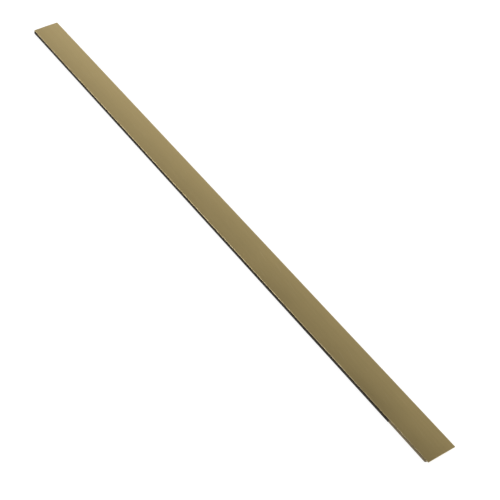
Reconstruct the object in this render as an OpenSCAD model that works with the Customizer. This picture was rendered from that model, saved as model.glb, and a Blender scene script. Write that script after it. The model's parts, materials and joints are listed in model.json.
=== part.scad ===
// Door sweep with a plain face: a slide-on cover over a base rail, with a rubber seal along one edge.
// X runs along the length, with the latch end at +X and the hinge end at -X.
// -Y is the seal's edge, which faces the floor once the sweep is on a door.
// +Z points out of the face, and Z = 0 is the back, which lies against the door.

/* [Size] */
// Length of the sweep
sweep_length = 914.4; // [800:0.1:1220]
// Width of the face
face_width = 38.1; // [37:0.1:60]
// Thickness from the back to the face
total_t = 6; // [5.9:0.1:7]

/* [Cover] */
// Thickness of the face plate
plate_t = 1; // [0.9:0.05:1.1]
// Rise of the face's middle over its long edges
crown = 0.25; // [0.1:0.05:0.4]
// Bevel on the long edges of the face
edge_bevel = 0.25; // [0.1:0.05:0.3]
// Thickness of the side wall, the clip legs and the rail's ribs
wall_t = 1; // [0.8:0.1:1.1]
// How far the face reaches past everything under it at the latch end
face_overhang = 4; // [0:0.5:8]

/* [Rail] */
// Thickness of the rail's base
base_t = 1.2; // [1:0.1:1.3]
// Depth of the V-shaped drill line along the screw holes
drill_line_depth = 0.25; // [0.1:0.05:0.4]
// Diameter of the screw holes, for a No. 8 screw
screw_hole_d = 4.5; // [4:0.1:5]
// Distance between the two outer screw holes
outer_hole_spacing = 762; // [500:0.1:762]
// Distance between the two inner screw holes
inner_hole_spacing = 254; // [100:0.1:400]

/* [Seal] */
// How far the rubber stands out past the face's edge
lip_proud = 1; // [0.5:0.1:1.5]
// Height of the rubber foot
foot_height = 4.1; // [3:0.1:4.1]
// Length of the notch in the rubber at the latch end
notch_length = 68; // [30:1:100]

/* [Adhesive] */
// Thickness of the foam tapes
tape_t = 0.8; // [0.6:0.1:0.8]
// Thickness of the release liners
liner_t = 0.2; // [0.1:0.05:0.2]

/* [Hidden] */
$fn = 48;

end_x = sweep_length / 2;
latch_x = end_x - face_overhang;
face_half = face_width / 2;
face_mid_y = lip_proud / 2;
high_y = face_mid_y + face_half;
low_y = face_mid_y - face_half;
plate_z = total_t - plate_t;
rail_z = liner_t + tape_t;
base_top_z = rail_z + base_t;

// Gaps: between bodies that slide, and between neighbours that only lie close
run_gap = 0.3;
fit_gap = 0.1;

// The face is a shallow curve, and its long edges are bevelled at 45 degrees
crown_steps = 24;
crown_half = face_half - edge_bevel;
face_edge_z = crown_z(crown_half) - edge_bevel;

// End caps
cap_t = 1;
cap_bottom_z = 0.3;
plug_length = 8;
shoe_wall = 1.2;
shoe_proud = 0.3;
shoe_round = 2;
rail_x0 = -end_x + cap_t;
rail_x1 = latch_x - cap_t - run_gap;

// Clip: a rail rib and a cover leg hook over each other with two small barbs
barb = 0.6;
barb_h = 0.6;
barb_gap = 0.2;
leg_offset = barb + run_gap;
leg_bottom_z = base_top_z + 0.4;
rib_barb_z = leg_bottom_z + barb_h + barb_gap;
high_rib_y = high_y - 4.65;
low_rib_y = low_y + 13.65;

// Seal channel: a C-shaped groove with its mouth towards the seal's edge
channel_y0 = low_y + 6.05;
channel_y1 = channel_y0 + 5;
channel_wall = 0.8;
channel_top_z = plate_z - run_gap;
groove_depth = 3.2;
mouth_lip = 0.8;
mouth_h = 1;
seal_mid_z = (base_top_z + channel_top_z - channel_wall) / 2;
bead_h = channel_top_z - channel_wall - base_top_z - 2 * fit_gap;

// Rubber lip: a thin web and a foot with rounded outer edges
web_t = 0.8;
foot_width = 4.5;
foot_round = 0.8;
foot_bottom_z = 0.6;
lip_pivot_y = channel_y0 - run_gap - web_t / 2;
lip_tip_y = low_y - lip_proud;
lip_x0 = rail_x0 + run_gap;
lip_x1 = end_x - notch_length - run_gap;
foot_top_z = foot_bottom_z + foot_height;

// Tape lanes and the screw lane between them
high_tape_width = 10;
low_tape_width = 8;
rail_high_y = high_y - wall_t - 0.65;
high_tape_y0 = rail_high_y - high_tape_width;
low_tape_y1 = channel_y0 + 1 + low_tape_width;
screw_lane_y = (high_tape_y0 + low_tape_y1) / 2;

// A rectangle in the cross-section, from one corner to the other
module bar(y0, y1, z0, z1) {
    translate([min(y0, y1), z0]) square([abs(y1 - y0), z1 - z0]);
}

// A cross-section drawn as (y, z), drawn out along X
module along_x(x0, x1) {
    translate([x0, 0, 0]) rotate([90, 0, 90]) linear_extrude(x1 - x0) children();
}

module block(x0, x1, y0, y1, z0, z1) {
    translate([x0, y0, z0]) cube([x1 - x0, y1 - y0, z1 - z0]);
}

// A cover leg that hooks under the barb of the rib at rib_y; side is +1 or -1, away from the middle
module clip_leg(rib_y, side) {
    leg_y = rib_y + side * leg_offset;
    bar(leg_y, leg_y + side * wall_t, leg_bottom_z, plate_z + plate_t / 3);
    bar(leg_y - side * barb, leg_y + side * wall_t / 2, leg_bottom_z, leg_bottom_z + barb_h);
}

// A rail rib whose outer face is at rib_y
module clip_rib(rib_y, side) {
    bar(rib_y - side * wall_t, rib_y, rail_z, rib_barb_z + barb_h);
    bar(rib_y - side * wall_t / 2, rib_y + side * barb, rib_barb_z, rib_barb_z + barb_h);
}

// Height of the crowned face at a distance from its middle
function crown_z(across) = total_t - crown * pow(across / face_half, 2);

module plate_profile() {
    crown_points = [
        for (i = [0 : crown_steps])
            let (across = crown_half * (1 - 2 * i / crown_steps))
                [face_mid_y + across, crown_z(across)]
    ];
    polygon(concat(
        [[low_y, face_edge_z], [low_y, plate_z], [high_y, plate_z], [high_y, face_edge_z]],
        crown_points
    ));
}

// The plate runs the full length, the side wall stops at the overhang,
// and the clip legs are cut back further to clear both end caps
module face_cover() {
    color([0.62, 0.55, 0.38]) {
        along_x(-end_x, end_x) plate_profile();
        along_x(-end_x, latch_x) bar(high_y - wall_t, high_y, cap_bottom_z, plate_z + plate_t / 3);
        along_x(rail_x0 + run_gap, latch_x - cap_t) {
            clip_leg(high_rib_y, 1);
            clip_leg(low_rib_y, -1);
        }
    }
}

// The shoe's outline has one rounded corner, where the seal's edge meets the latch end
module shoe_blank(x0, y0, y1) {
    block(x0, latch_x - shoe_round, y0, y1, foot_bottom_z, plate_z);
    block(latch_x - plug_length, latch_x, y0 + shoe_round, y1, foot_bottom_z, plate_z);
    translate([latch_x - shoe_round, y0 + shoe_round, foot_bottom_z])
        cylinder(h = plate_z - foot_bottom_z, r = shoe_round);
}

// The latch cap closes the end under the face, its tongue fills the pocket beside the side wall,
// and its shoe, cored out from the back, fills the notch in the rubber
module latch_end_cap() {
    shoe_x0 = end_x - notch_length;
    shoe_y0 = low_y - shoe_proud;
    shoe_y1 = channel_y0 - run_gap - fit_gap;
    pocket_y0 = high_rib_y + leg_offset + wall_t;
    color([0.57, 0.5, 0.33]) {
        block(latch_x - cap_t, latch_x, shoe_y1 - shoe_wall, high_y - wall_t, cap_bottom_z, plate_z);
        block(latch_x - plug_length, latch_x - cap_t / 2, pocket_y0, high_y - wall_t, leg_bottom_z, plate_z);
        difference() {
            shoe_blank(shoe_x0, shoe_y0, shoe_y1);
            block(shoe_x0 + shoe_wall, latch_x - cap_t - shoe_wall,
                shoe_y0 + shoe_wall, shoe_y1 - shoe_wall, 0, plate_z - shoe_wall);
        }
    }
}

module rail_profile() {
    bar(channel_y0, rail_high_y, rail_z, base_top_z);
    clip_rib(high_rib_y, 1);
    clip_rib(low_rib_y, -1);
    // Seal channel
    bar(channel_y0 + groove_depth + mouth_lip, channel_y1, rail_z, channel_top_z);
    bar(channel_y0, channel_y1, channel_top_z - channel_wall, channel_top_z);
    bar(channel_y0, channel_y0 + mouth_lip, rail_z, seal_mid_z - mouth_h / 2);
    bar(channel_y0, channel_y0 + mouth_lip, seal_mid_z + mouth_h / 2, channel_top_z);
}

module base_rail() {
    color([0.76, 0.77, 0.79]) difference() {
        along_x(rail_x0, rail_x1) rail_profile();
        along_x(rail_x0 - 1, rail_x1 + 1) polygon([
            [screw_lane_y - drill_line_depth, base_top_z],
            [screw_lane_y, base_top_z - drill_line_depth],
            [screw_lane_y + drill_line_depth, base_top_z]
        ]);
        for (spacing = [outer_hole_spacing, inner_hole_spacing])
            for (side = [-1, 1])
                translate([side * spacing / 2, screw_lane_y, rail_z - 1])
                    cylinder(h = base_t + 2, d = screw_hole_d);
    }
}

// The hinge cap is plugged into the rail, between its two ribs
module hinge_end_cap() {
    plug_y0 = low_rib_y + wall_t + fit_gap;
    plug_y1 = high_rib_y - wall_t - fit_gap;
    color([0.57, 0.5, 0.33]) {
        block(-end_x, rail_x0, low_y, high_y - wall_t - run_gap, cap_bottom_z, channel_top_z);
        block(-end_x + cap_t / 2, -end_x + plug_length, plug_y0, plug_y1, base_top_z, rib_barb_z + barb_h);
    }
}

module seal_bead() {
    bead_y0 = channel_y0 + mouth_lip + fit_gap;
    bead_y1 = bead_y0 + groove_depth - 2 * fit_gap;
    neck_h = mouth_h - 2 * fit_gap;
    color([0.1, 0.1, 0.1]) along_x(rail_x0, rail_x1) {
        bar(bead_y0, bead_y1, seal_mid_z - bead_h / 2, seal_mid_z + bead_h / 2);
        bar(channel_y0, bead_y0 + fit_gap, seal_mid_z - neck_h / 2, seal_mid_z + neck_h / 2);
    }
}

module lip_profile() {
    round_y = lip_tip_y + foot_round;
    bar(lip_tip_y + foot_width / 2, lip_pivot_y, seal_mid_z - web_t / 2, seal_mid_z + web_t / 2);
    translate([lip_pivot_y, seal_mid_z]) circle(d = web_t);
    bar(round_y, lip_tip_y + foot_width, foot_bottom_z, foot_top_z);
    bar(lip_tip_y, round_y, foot_bottom_z + foot_round, foot_top_z - foot_round);
    for (z = [foot_bottom_z + foot_round, foot_top_z - foot_round])
        translate([round_y, z]) circle(r = foot_round);
}

module seal_lip() {
    color([0.12, 0.11, 0.1]) along_x(lip_x0, lip_x1) lip_profile();
}

module tape_strip(y0, y1, z0, z1) {
    along_x(rail_x0, rail_x1) bar(y0, y1, z0, z1);
}

module upper_foam_tape() {
    color([0.85, 0.84, 0.8]) tape_strip(high_tape_y0, rail_high_y, liner_t, rail_z);
}

module lower_foam_tape() {
    color([0.85, 0.84, 0.8]) tape_strip(channel_y0 + 1, low_tape_y1, liner_t, rail_z);
}

module upper_release_liner() {
    color([0.9, 0.75, 0.4]) tape_strip(high_tape_y0, rail_high_y, 0, liner_t);
}

module lower_release_liner() {
    color([0.9, 0.75, 0.4]) tape_strip(channel_y0 + 1, low_tape_y1, 0, liner_t);
}

face_cover();
latch_end_cap();
base_rail();
hinge_end_cap();
seal_bead();
upper_foam_tape();
lower_foam_tape();
seal_lip();
upper_release_liner();
lower_release_liner();
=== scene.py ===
import json
import math

import bmesh
import bpy
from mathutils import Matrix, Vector, noise


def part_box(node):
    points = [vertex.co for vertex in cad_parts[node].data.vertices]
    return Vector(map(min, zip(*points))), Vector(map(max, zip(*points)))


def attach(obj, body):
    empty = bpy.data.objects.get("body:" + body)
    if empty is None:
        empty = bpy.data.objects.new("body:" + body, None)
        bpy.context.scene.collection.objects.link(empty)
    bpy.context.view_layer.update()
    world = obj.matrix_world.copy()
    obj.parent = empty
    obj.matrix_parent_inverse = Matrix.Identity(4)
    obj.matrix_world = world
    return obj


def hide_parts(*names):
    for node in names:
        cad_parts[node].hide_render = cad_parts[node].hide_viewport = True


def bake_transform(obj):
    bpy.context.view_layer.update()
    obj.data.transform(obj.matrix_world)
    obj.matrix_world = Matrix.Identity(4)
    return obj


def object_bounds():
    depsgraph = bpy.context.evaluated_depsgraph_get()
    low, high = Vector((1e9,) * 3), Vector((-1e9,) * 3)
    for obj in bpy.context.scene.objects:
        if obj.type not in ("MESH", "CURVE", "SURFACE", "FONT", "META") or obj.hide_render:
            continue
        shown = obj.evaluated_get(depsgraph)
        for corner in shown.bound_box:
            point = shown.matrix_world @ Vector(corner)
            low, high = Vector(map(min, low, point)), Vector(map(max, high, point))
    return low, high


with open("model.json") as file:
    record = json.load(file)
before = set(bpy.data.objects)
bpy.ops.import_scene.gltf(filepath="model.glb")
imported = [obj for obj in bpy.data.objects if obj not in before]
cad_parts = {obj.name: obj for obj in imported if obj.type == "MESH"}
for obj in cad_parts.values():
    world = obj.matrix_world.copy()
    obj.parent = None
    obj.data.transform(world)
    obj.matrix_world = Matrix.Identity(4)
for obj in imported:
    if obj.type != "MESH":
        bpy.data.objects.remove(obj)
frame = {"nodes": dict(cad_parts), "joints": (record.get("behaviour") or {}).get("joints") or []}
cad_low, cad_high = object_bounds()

MM = 0.001

# Places taken from the frame
COVER_LOW, COVER_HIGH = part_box("face_cover")
BEAD_LOW, BEAD_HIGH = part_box("seal_bead")
LIP_LOW, LIP_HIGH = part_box("seal_lip")
FACE_MIDDLE_Y = (COVER_LOW.y + COVER_HIGH.y) / 2
FACE_HALF_WIDTH = (COVER_HIGH.y - COVER_LOW.y) / 2
PIVOT = Vector(next(j["pos_m"] for j in frame["joints"] if j["name"] == "lip_flex"))

# Camera: where it looks, from which side, and how far away it stands
CAMERA_TARGET = Vector((0.0861, 0.0009, 0.0))
CAMERA_AZIMUTH = math.radians(54.15)
CAMERA_ELEVATION = math.radians(45.57)
CAMERA_ROLL = math.radians(2.62)
CAMERA_DISTANCE = 1.5879
CAMERA_LENS = 91.61
SENSOR_WIDTH = 36.0

# Sockets of a colour Mix node
MIX_FACTOR, MIX_A, MIX_B, MIX_RESULT = 0, 6, 7, 2


# ---------------------------------------------------------------- node helpers


class Shader:
    """A material under construction: a Principled shader and short calls for the nodes that feed it."""

    def __init__(self, name, color, metallic=0.0, roughness=0.5, specular=0.5):
        self.material = bpy.data.materials.new(name)
        self.material.use_nodes = True
        self.nodes = self.material.node_tree.nodes
        self.links = self.material.node_tree.links
        self.principled = self.nodes["Principled BSDF"]
        self.set("Base Color", (*color, 1.0))
        self.set("Metallic", metallic)
        self.set("Roughness", roughness)
        self.set("Specular IOR Level", specular)
        self.place = self.add("ShaderNodeTexCoord").outputs["Object"]

    def set(self, socket, value):
        self.principled.inputs[socket].default_value = value

    def add(self, kind, **options):
        node = self.nodes.new(kind)
        for key, value in options.items():
            setattr(node, key, value)
        return node

    def feed(self, node, socket, source):
        if isinstance(source, bpy.types.NodeSocket):
            self.links.new(source, node.inputs[socket])
        else:
            node.inputs[socket].default_value = source

    def math(self, operation, first, second=0.0):
        node = self.add("ShaderNodeMath", operation=operation)
        self.feed(node, 0, first)
        self.feed(node, 1, second)
        return node.outputs[0]

    def axis(self, index):
        node = self.add("ShaderNodeSeparateXYZ")
        self.feed(node, 0, self.place)
        return node.outputs[index]

    def stretched(self, per_metre):
        """The object's own coordinates, scaled to so many texture units per metre along x, y and z."""
        node = self.add("ShaderNodeMapping")
        self.feed(node, "Vector", self.place)
        node.inputs["Scale"].default_value = per_metre
        return node.outputs["Vector"]

    def turned(self, per_metre, angle):
        """As stretched, after a turn about z, for marks that run across the brush lines."""
        turn = self.add("ShaderNodeMapping")
        self.feed(turn, "Vector", self.place)
        turn.inputs["Rotation"].default_value = (0, 0, angle)
        scale = self.add("ShaderNodeMapping")
        self.feed(scale, "Vector", turn.outputs["Vector"])
        scale.inputs["Scale"].default_value = per_metre
        return scale.outputs["Vector"]

    def noise(self, vector, detail=2.0, roughness=0.5):
        node = self.add("ShaderNodeTexNoise")
        self.feed(node, "Vector", vector)
        node.inputs["Scale"].default_value = 1.0
        node.inputs["Detail"].default_value = detail
        node.inputs["Roughness"].default_value = roughness
        return node.outputs["Fac"]

    def cells(self, vector):
        """Distance to the nearest of many scattered points."""
        node = self.add("ShaderNodeTexVoronoi")
        self.feed(node, "Vector", vector)
        node.inputs["Scale"].default_value = 1.0
        return node.outputs["Distance"]

    def spread(self, source, low, high, to_low=0.0, to_high=1.0):
        """Maps low..high of a source to to_low..to_high, held at the ends."""
        node = self.add("ShaderNodeMapRange")
        limits = {"From Min": low, "From Max": high, "To Min": to_low, "To Max": to_high}
        for socket, value in limits.items():
            node.inputs[socket].default_value = value
        self.feed(node, "Value", source)
        return node.outputs["Result"]

    def mix(self, amount, first, second):
        node = self.add("ShaderNodeMix", data_type="RGBA")
        self.feed(node, MIX_FACTOR, amount)
        for socket, color in ((MIX_A, first), (MIX_B, second)):
            self.feed(node, socket, color if isinstance(color, bpy.types.NodeSocket) else (*color, 1.0))
        return node.outputs[MIX_RESULT]

    def color(self, source):
        self.feed(self.principled, "Base Color", source)

    def roughness(self, source):
        self.feed(self.principled, "Roughness", source)

    def bump(self, height, distance, edge_radius=0.0):
        """Relief from a height, over edges softened by edge_radius."""
        node = self.add("ShaderNodeBump")
        node.inputs["Strength"].default_value = 1.0
        node.inputs["Distance"].default_value = distance
        self.feed(node, "Height", height)
        if edge_radius > 0:
            soft = self.add("ShaderNodeBevel", samples=4)
            soft.inputs["Radius"].default_value = edge_radius
            self.feed(node, "Normal", soft.outputs["Normal"])
        self.feed(self.principled, "Normal", node.outputs["Normal"])


def scaled(color, factor):
    return tuple(c * factor for c in color)


# ---------------------------------------------------------------- materials

GOLD = (0.436, 0.337, 0.152)
GOLD_WORN = (0.62, 0.53, 0.34)
# The caps' gold is darkened well below GOLD: painted shade standing in for the shaded ends and sides of the
# caps.
CAP_GOLD_SHADED = (0.160, 0.120, 0.056)
MILL_ALUMINIUM = (0.60, 0.61, 0.62)
RUBBER_BLACK = (0.020, 0.0140, 0.0055)
RUBBER_BLOOM = (0.060, 0.045, 0.022)
FOAM_WHITE = (0.74, 0.73, 0.69)
LINER_AMBER = (0.66, 0.52, 0.27)
FLOOR_GREY = (0.35, 0.35, 0.35)

# Where the gold is rubbed: how far in from the long edges, and how far down from the face
WEAR_IN = (0.55 * MM, 0.15 * MM)
WEAR_DOWN = (0.9 * MM, 0.6 * MM)


def anodised_gold():
    """Satin gold anodising: draw lines along x, a cloudy tone, faint scratches and worn edges."""
    shader = Shader("anodised_gold", GOLD, metallic=1.0, roughness=0.4)
    hairlines = shader.noise(shader.stretched((9, 5200, 5200)), detail=3.0, roughness=0.6)
    bands = shader.noise(shader.stretched((2.2, 420, 420)), detail=2.0)
    clouds = shader.noise(shader.stretched((14, 22, 22)), detail=3.0)
    tone = shader.math("ADD", shader.spread(hairlines, 0.3, 0.7, -0.035, 0.035),
                       shader.spread(bands, 0.3, 0.7, -0.022, 0.022))
    tone = shader.math("ADD", tone, shader.spread(clouds, 0.3, 0.7, -0.02, 0.02))
    light = shader.spread(tone, -0.08, 0.08)
    color = shader.mix(light, scaled(GOLD, 0.92), scaled(GOLD, 1.08))

    scratch = shader.noise(shader.turned((26, 1900, 1900), math.radians(11)), detail=1.0)
    scratch = shader.spread(scratch, 0.70, 0.76)
    color = shader.mix(shader.math("MULTIPLY", scratch, 0.25), color, GOLD_WORN)

    across = shader.math("ABSOLUTE", shader.math("SUBTRACT", shader.axis(1), FACE_MIDDLE_Y))
    near_edge = shader.spread(across, FACE_HALF_WIDTH - WEAR_IN[0], FACE_HALF_WIDTH - WEAR_IN[1])
    near_top = shader.spread(shader.axis(2), COVER_HIGH.z - WEAR_DOWN[0], COVER_HIGH.z - WEAR_DOWN[1])
    rubbed = shader.spread(shader.noise(shader.stretched((160, 900, 900)), detail=4.0), 0.42, 0.62)
    wear = shader.math("MULTIPLY", shader.math("MULTIPLY", near_edge, near_top),
                       shader.spread(rubbed, 0, 1, 0.25, 0.8))
    shader.color(shader.mix(wear, color, GOLD_WORN))

    rough = shader.math("ADD", shader.spread(hairlines, 0.3, 0.7, 0.37, 0.45),
                        shader.spread(clouds, 0.3, 0.7, -0.02, 0.02))
    shader.roughness(shader.math("SUBTRACT", rough, shader.math("MULTIPLY", wear, 0.1)))
    shader.bump(shader.math("SUBTRACT", hairlines, shader.math("MULTIPLY", scratch, 0.6)), 0.012 * MM,
                edge_radius=0.12 * MM)
    return shader.material


def shaded_moulded_gold():
    """Gold-painted moulded plastic with a fine spark-eroded texture and paler rubbed corners, on a base
    colour darkened well below the face's gold as painted shade.
    """
    shader = Shader("shaded_moulded_gold", CAP_GOLD_SHADED, metallic=0.75, roughness=0.46)
    grain = shader.noise(shader.stretched((5200, 5200, 5200)), detail=2.0)
    patches = shader.noise(shader.stretched((130, 130, 130)), detail=3.0)
    tone = shader.spread(patches, 0.3, 0.7)
    color = shader.mix(tone, scaled(CAP_GOLD_SHADED, 0.88), scaled(CAP_GOLD_SHADED, 1.1))
    specks = shader.spread(shader.cells(shader.stretched((1500, 1500, 1500))), 0.05, 0.16, 0.35, 0.0)
    shader.color(shader.mix(specks, color, scaled(GOLD_WORN, 0.9)))
    shader.roughness(shader.spread(grain, 0.3, 0.7, 0.4, 0.56))
    shader.bump(grain, 0.03 * MM, edge_radius=0.15 * MM)
    return shader.material


def mill_aluminium():
    """Extruded aluminium as it left the die: long die lines, dull oxide clouds and a few handling marks."""
    shader = Shader("mill_aluminium", MILL_ALUMINIUM, metallic=1.0, roughness=0.36)
    die_lines = shader.noise(shader.stretched((3, 3600, 3600)), detail=3.0, roughness=0.65)
    wide_lines = shader.noise(shader.stretched((1.2, 520, 520)), detail=2.0)
    oxide = shader.noise(shader.stretched((90, 260, 260)), detail=4.0, roughness=0.6)
    lines = shader.math("ADD", shader.spread(die_lines, 0.3, 0.7, -0.5, 0.5),
                        shader.spread(wide_lines, 0.3, 0.7, -0.5, 0.5))
    color = shader.mix(shader.spread(lines, -1, 1),
                       scaled(MILL_ALUMINIUM, 0.86), scaled(MILL_ALUMINIUM, 1.08))
    dull = shader.spread(oxide, 0.5, 0.72, 0.0, 0.3)
    shader.color(shader.mix(dull, color, scaled(MILL_ALUMINIUM, 0.8)))
    marks = shader.noise(shader.turned((40, 1500, 1500), math.radians(-24)), detail=1.0)
    marks = shader.spread(marks, 0.71, 0.77)
    shader.roughness(shader.math("ADD", shader.spread(die_lines, 0.3, 0.7, 0.28, 0.42),
                                 shader.math("MULTIPLY", dull, 0.15)))
    shader.bump(shader.math("SUBTRACT", die_lines, marks), 0.015 * MM, edge_radius=0.1 * MM)
    return shader.material


def black_rubber():
    """Matt black extruded rubber with fine flow lines, a dusty bloom and a few pale specks."""
    shader = Shader("black_rubber", RUBBER_BLACK, roughness=0.62, specular=0.35)
    flow = shader.noise(shader.stretched((18, 2600, 2600)), detail=3.0)
    bloom = shader.noise(shader.stretched((60, 260, 260)), detail=4.0, roughness=0.65)
    color = shader.mix(shader.spread(bloom, 0.45, 0.75, 0.0, 0.55), RUBBER_BLACK, RUBBER_BLOOM)
    dust = shader.spread(shader.cells(shader.stretched((420, 900, 900))), 0.04, 0.1, 0.5, 0.0)
    shader.color(shader.mix(dust, color, scaled(RUBBER_BLOOM, 3.0)))
    shader.roughness(shader.spread(bloom, 0.3, 0.7, 0.52, 0.74))
    shader.bump(flow, 0.02 * MM)
    return shader.material


def foam_material():
    """Closed-cell foam: small bright bubbles with darker walls between them."""
    shader = Shader("closed_cell_foam", FOAM_WHITE, roughness=0.9, specular=0.2)
    cells = shader.cells(shader.stretched((2600, 2600, 2600)))
    fine = shader.noise(shader.stretched((700, 700, 700)), detail=3.0)
    color = shader.mix(shader.spread(cells, 0.1, 0.75), scaled(FOAM_WHITE, 1.06), scaled(FOAM_WHITE, 0.72))
    shader.color(shader.mix(shader.spread(fine, 0.4, 0.7, 0.0, 0.3), color, scaled(FOAM_WHITE, 0.85)))
    shader.roughness(shader.spread(cells, 0.0, 0.8, 0.82, 0.96))
    shader.bump(shader.math("SUBTRACT", 1.0, cells), 0.12 * MM)
    return shader.material


def liner_material():
    """Waxed release paper: amber, with paper fibres, soft mottling and a slight gloss."""
    shader = Shader("release_paper", LINER_AMBER, roughness=0.42, specular=0.5)
    fibres = shader.noise(shader.turned((900, 4200, 4200), math.radians(30)), detail=3.0)
    mottle = shader.noise(shader.stretched((240, 240, 240)), detail=4.0, roughness=0.6)
    color = shader.mix(shader.spread(mottle, 0.3, 0.7), scaled(LINER_AMBER, 0.9), scaled(LINER_AMBER, 1.12))
    shader.color(shader.mix(shader.spread(fibres, 0.55, 0.75, 0.0, 0.35), color, scaled(LINER_AMBER, 1.35)))
    shader.roughness(shader.spread(mottle, 0.3, 0.7, 0.36, 0.52))
    shader.bump(fibres, 0.01 * MM)
    return shader.material


def floor_material():
    """Plain pale studio floor with a barely visible paper tooth."""
    shader = Shader("pale_floor", FLOOR_GREY, roughness=0.85, specular=0.1)
    shader.set("Emission Color", (1, 1, 1, 1))
    shader.set("Emission Strength", 0.88)
    tooth = shader.noise(shader.stretched((300, 300, 300)), detail=2.0)
    shader.color(shader.mix(shader.spread(tooth, 0.3, 0.7),
                            scaled(FLOOR_GREY, 0.986), scaled(FLOOR_GREY, 1.014)))
    return shader.material


# ---------------------------------------------------------------- meshes


def sweep_along_x(name, outline, stations, shift=None):
    """A closed solid: an outline of (y, z) points carried along x through the stations.
    shift(point) returns the small amount by which a point leaves its place."""
    points, faces = [], []
    count = len(outline)
    for x in stations:
        for y, z in outline:
            point = Vector((x, y, z))
            points.append(point + shift(point) if shift else point)
    for ring in range(len(stations) - 1):
        start = ring * count
        for i in range(count):
            j = (i + 1) % count
            faces.append((start + i, start + j, start + count + j, start + count + i))
    last = (len(stations) - 1) * count
    faces.append(tuple(reversed(range(count))))
    faces.append(tuple(last + i for i in range(count)))
    mesh = bpy.data.meshes.new(name)
    mesh.from_pydata([tuple(p) for p in points], [], faces)
    mesh.validate()
    piece = bpy.data.objects.new(name, mesh)
    bpy.context.scene.collection.objects.link(piece)
    return piece


def face_outwards(piece):
    work = bmesh.new()
    work.from_mesh(piece.data)
    bmesh.ops.recalc_face_normals(work, faces=work.faces)
    work.to_mesh(piece.data)
    work.free()


def even_steps(low, high, step):
    count = max(1, math.ceil((high - low) / step))
    return [low + (high - low) * i / count for i in range(count + 1)]


def arc(centre_y, centre_z, radius, start, end, steps=6):
    """Points of a round corner, from one angle to another in degrees, 0 towards +y and 90 towards +z."""
    angles = [math.radians(start + (end - start) * i / steps) for i in range(steps + 1)]
    return [(centre_y + radius * math.cos(a), centre_z + radius * math.sin(a)) for a in angles]


def finish_piece(piece, material, crease_degrees=35):
    face_outwards(piece)
    piece.data.materials.append(material)
    for polygon in piece.data.polygons:
        polygon.use_smooth = True
    piece.data.set_sharp_from_angle(angle=math.radians(crease_degrees))


# The seal is one rubber extrusion: a bead in the rail's groove, a thin neck and web, and a ribbed foot
RIB_COUNT = 4
RIB_DEPTH = 0.22 * MM
WEB_HALF = 0.4 * MM
FOOT_WIDTH = 4.5 * MM
FOOT_ROUND = 0.8 * MM
FOOT_BACK_ROUND = 0.3 * MM
BEAD_ROUND = 0.25 * MM
BEAD_DEPTH = 3 * MM
NECK_OVERLAP = 0.3 * MM
WEB_STEP = 0.25 * MM
RUBBER_STEP = 6 * MM
BEAD_STEP = 24 * MM
RUBBER_WANDER = 0.05 * MM
WANDER_REACH = 4 * MM


def ribbed_face(y, low_z, high_z):
    """The foot's wiping face, from high to low: shallow grooves leave RIB_COUNT ribs."""
    steps = RIB_COUNT * 6
    points = []
    for i in range(1, steps):
        part = i / steps
        dip = RIB_DEPTH * (0.5 - 0.5 * math.cos(2 * math.pi * part * RIB_COUNT)) ** 2
        points.append((y + dip, high_z + (low_z - high_z) * part))
    return points


def seal_lip_outline(root_y):
    """The neck, web and foot: from the root's upper side round the foot to the root's lower side."""
    foot_back_y = LIP_LOW.y + FOOT_WIDTH
    middle_z = PIVOT.z
    front_y = LIP_LOW.y + FOOT_ROUND
    upper = [(y, middle_z + WEB_HALF) for y in even_steps(foot_back_y, root_y, WEB_STEP)][::-1]
    lower = [(y, middle_z - WEB_HALF) for y in even_steps(foot_back_y, root_y, WEB_STEP)]
    back = foot_back_y - FOOT_BACK_ROUND
    outline = upper
    outline += arc(back, LIP_HIGH.z - FOOT_BACK_ROUND, FOOT_BACK_ROUND, 0, 90, 4)
    outline += arc(front_y, LIP_HIGH.z - FOOT_ROUND, FOOT_ROUND, 90, 180)
    outline += ribbed_face(LIP_LOW.y, LIP_LOW.z + FOOT_ROUND, LIP_HIGH.z - FOOT_ROUND)
    outline += arc(front_y, LIP_LOW.z + FOOT_ROUND, FOOT_ROUND, 180, 270)
    outline += arc(back, LIP_LOW.z + FOOT_BACK_ROUND, FOOT_BACK_ROUND, 270, 360, 4)
    return outline + lower


def seal_bead_outline(neck_y):
    """The bead held in the groove, with its neck reaching out to neck_y."""
    middle_z = PIVOT.z
    low_y = BEAD_HIGH.y - BEAD_DEPTH
    outline = [(neck_y, middle_z + WEB_HALF), (low_y, middle_z + WEB_HALF)]
    outline += arc(low_y + BEAD_ROUND, BEAD_HIGH.z - BEAD_ROUND, BEAD_ROUND, 180, 90, 3)
    outline += arc(BEAD_HIGH.y - BEAD_ROUND, BEAD_HIGH.z - BEAD_ROUND, BEAD_ROUND, 90, 0, 3)
    outline += arc(BEAD_HIGH.y - BEAD_ROUND, BEAD_LOW.z + BEAD_ROUND, BEAD_ROUND, 0, -90, 3)
    outline += arc(low_y + BEAD_ROUND, BEAD_LOW.z + BEAD_ROUND, BEAD_ROUND, -90, -180, 3)
    return outline + [(low_y, middle_z - WEB_HALF), (neck_y, middle_z - WEB_HALF)]


def rubber_wander(point):
    """The free foot of a real extrusion isn't dead straight; the web's root is."""
    free = min(1.0, max(0.0, (PIVOT.y - point.y) / WANDER_REACH))
    wave = noise.noise(Vector((point.x * 11, 3.7, 0.0)))
    rise = noise.noise(Vector((point.x * 9, 9.1, 0.0)))
    return Vector((0, RUBBER_WANDER * wave * free, RUBBER_WANDER * rise * free))


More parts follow.
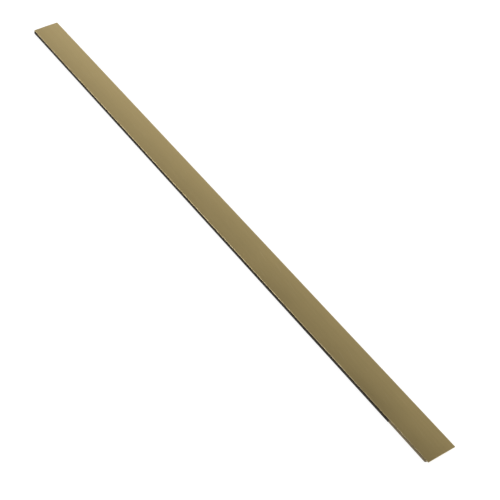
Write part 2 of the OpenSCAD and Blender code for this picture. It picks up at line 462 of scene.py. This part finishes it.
def rubber_seal(material):
    """Lip and bead joined into one mesh, reaching from the rail to the lip's own body."""
    lip = sweep_along_x("rubber_seal", seal_lip_outline(BEAD_LOW.y + NECK_OVERLAP),
                        even_steps(LIP_LOW.x, LIP_HIGH.x, RUBBER_STEP), rubber_wander)
    bead = sweep_along_x("rubber_bead_part", seal_bead_outline(BEAD_LOW.y),
                         even_steps(BEAD_LOW.x, BEAD_HIGH.x, BEAD_STEP))
    face_outwards(lip)
    face_outwards(bead)
    join = lip.modifiers.new("join", "BOOLEAN")
    join.operation = "UNION"
    join.solver = "EXACT"
    join.object = bead
    depsgraph = bpy.context.evaluated_depsgraph_get()
    joined = bpy.data.meshes.new_from_object(lip.evaluated_get(depsgraph))
    lip.modifiers.clear()
    lip.data = joined
    bpy.data.objects.remove(bead)
    finish_piece(lip, material)
    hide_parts("seal_bead", "seal_lip")
    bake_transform(lip)
    return lip


STRIP_STEP = 4 * MM
STRIP_CROSS_STEP = 1.2 * MM
TAPE_ROUND = 0.12 * MM
TAPE_EDGE = 0.8
TAPE_EDGE_WANDER = 0.1 * MM
LINER_ROUND = 0.03 * MM
LINER_RIPPLE = 0.03 * MM


def strip_outline(low, high, rounding):
    """A flat strip's cross-section with round edges and points across its two wide faces."""
    across = even_steps(low.y + rounding, high.y - rounding, STRIP_CROSS_STEP)[1:-1]
    outline = arc(low.y + rounding, low.z + rounding, rounding, 180, 270, 3)
    outline += [(y, low.z) for y in across]
    outline += arc(high.y - rounding, low.z + rounding, rounding, 270, 360, 3)
    outline += arc(high.y - rounding, high.z - rounding, rounding, 0, 90, 3)
    outline += [(y, high.z) for y in reversed(across)]
    outline += arc(low.y + rounding, high.z - rounding, rounding, 90, 180, 3)
    return outline


def foam_tape(node, material, seed):
    """Die-cut foam tape: its long edges wander a little."""
    low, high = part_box(node)
    middle_y = (low.y + high.y) / 2

    def shift(point):
        side = (point.y - middle_y) / ((high.y - low.y) / 2)
        edge = max(0.0, abs(side) - TAPE_EDGE) / (1 - TAPE_EDGE)
        wander = noise.noise(Vector((point.x * 45, seed + side, 0.0))) - 0.5
        return Vector((0, TAPE_EDGE_WANDER * wander * edge * math.copysign(1, side), 0))

    piece = sweep_along_x(node + "_foam", strip_outline(low, high, TAPE_ROUND),
                          even_steps(low.x, high.x, STRIP_STEP), shift)
    finish_piece(piece, material)
    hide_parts(node)
    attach(piece, "rail")
    return piece


def release_liner(node, body, material, seed):
    """Release paper laid on its tape, with a faint ripple that never leaves the tape's thickness."""
    low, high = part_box(node)

    def shift(point):
        ripple = 0.5 + 0.5 * noise.noise(Vector((point.x * 60, point.y * 160, seed)))
        on_top = (point.z - low.z) / (high.z - low.z)
        return Vector((0, 0, LINER_RIPPLE * ripple * (1 - 2 * on_top) * 0.5))

    piece = sweep_along_x(node + "_paper", strip_outline(low, high, LINER_ROUND),
                          even_steps(low.x, high.x, STRIP_STEP), shift)
    finish_piece(piece, material)
    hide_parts(node)
    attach(piece, body)
    return piece


def dress(node, material):
    """Gives a CAD node its finished material."""
    for slot in frame["nodes"][node].material_slots:
        slot.material = material


# ---------------------------------------------------------------- studio


FLOOR_HALF = 30.0
FLOOR_GAP = 0.02 * MM


def pale_floor():
    mesh = bpy.data.meshes.new("floor")
    corners = [(x * FLOOR_HALF, y * FLOOR_HALF, 0) for x, y in ((-1, -1), (1, -1), (1, 1), (-1, 1))]
    mesh.from_pydata(corners, [], [(0, 1, 2, 3)])
    floor = bpy.data.objects.new("floor", mesh)
    floor.data.materials.append(floor_material())
    floor.location.z = cad_low.z - FLOOR_GAP
    bpy.context.scene.collection.objects.link(floor)


def soft_room(bright, dim, below, lean, fade):
    """A pale room that fades upwards from bright to dim, its bright side leant over towards +y.
    fade gives the heights where the change starts and ends. Under the floor the room has one even
    brightness, for pictures of the back."""
    world = bpy.data.worlds.new("soft_room")
    world.use_nodes = True
    nodes, links = world.node_tree.nodes, world.node_tree.links

    def grey_mix(factor, first, second):
        node = nodes.new("ShaderNodeMix")
        node.data_type = "RGBA"
        links.new(factor, node.inputs[MIX_FACTOR])
        for socket, source in ((MIX_A, first), (MIX_B, second)):
            if isinstance(source, bpy.types.NodeSocket):
                links.new(source, node.inputs[socket])
            else:
                node.inputs[socket].default_value = (source, source, source, 1)
        return node.outputs[MIX_RESULT]

    direction = nodes.new("ShaderNodeTexCoord").outputs["Generated"]
    upwards = nodes.new("ShaderNodeVectorMath")
    upwards.operation = "DOT_PRODUCT"
    upwards.inputs[1].default_value = (0, -math.sin(lean), math.cos(lean))
    links.new(direction, upwards.inputs[0])
    height = nodes.new("ShaderNodeMapRange")
    height.inputs["From Min"].default_value, height.inputs["From Max"].default_value = fade
    links.new(upwards.outputs["Value"], height.inputs["Value"])
    split = nodes.new("ShaderNodeSeparateXYZ")
    links.new(direction, split.inputs[0])
    above = nodes.new("ShaderNodeMath")
    above.operation = "GREATER_THAN"
    above.inputs[1].default_value = 0
    links.new(split.outputs["Z"], above.inputs[0])
    room = grey_mix(above.outputs[0], below, grey_mix(height.outputs["Result"], bright, dim))
    links.new(room, nodes["Background"].inputs["Color"])
    bpy.context.scene.world = world


def soft_light(name, place, size, power):
    data = bpy.data.lights.new(name, "AREA")
    data.shape = "DISK"
    data.size = size
    data.energy = power
    light = bpy.data.objects.new(name, data)
    light.location = place
    light.rotation_mode = "QUATERNION"
    light.rotation_quaternion = (-Vector(place)).to_track_quat("-Z", "Y")
    bpy.context.scene.collection.objects.link(light)


def camera():
    back = Vector((math.sin(CAMERA_AZIMUTH) * math.cos(CAMERA_ELEVATION),
                   -math.cos(CAMERA_AZIMUTH) * math.cos(CAMERA_ELEVATION),
                   math.sin(CAMERA_ELEVATION)))
    data = bpy.data.cameras.new("camera")
    data.lens = CAMERA_LENS
    data.sensor_width = SENSOR_WIDTH
    eye = bpy.data.objects.new("camera", data)
    eye.location = CAMERA_TARGET + back * CAMERA_DISTANCE
    eye.rotation_euler = (-back).to_track_quat("-Z", "Y").to_euler()
    eye.rotation_euler.rotate_axis("Z", CAMERA_ROLL)
    bpy.context.scene.collection.objects.link(eye)
    bpy.context.scene.camera = eye


# ---------------------------------------------------------------- the object

gold, caps, aluminium = anodised_gold(), shaded_moulded_gold(), mill_aluminium()
dress("face_cover", gold)
dress("base_rail", aluminium)
dress("hinge_end_cap", caps)
dress("latch_end_cap", caps)

rubber_seal(black_rubber())
foam = foam_material()
foam_tape("upper_foam_tape", foam, seed=1.5)
foam_tape("lower_foam_tape", foam, seed=7.5)
paper = liner_material()
release_liner("upper_release_liner", "upper_liner", paper, seed=2.5)
release_liner("lower_release_liner", "lower_liner", paper, seed=8.5)

pale_floor()
soft_room(bright=1.73, dim=0.06, below=0.65, lean=math.radians(30), fade=(0.12, 0.50))
soft_light("key_light", (1.6, -2.2, 2.6), size=2.2, power=24)
soft_light("far_light", (-2.6, 0.9, 1.5), size=1.6, power=1.4)
soft_light("edge_light", (-1.9, -2.1, 1.25), size=1.9, power=28)
camera()
bpy.context.scene.view_settings.view_transform = "Standard"
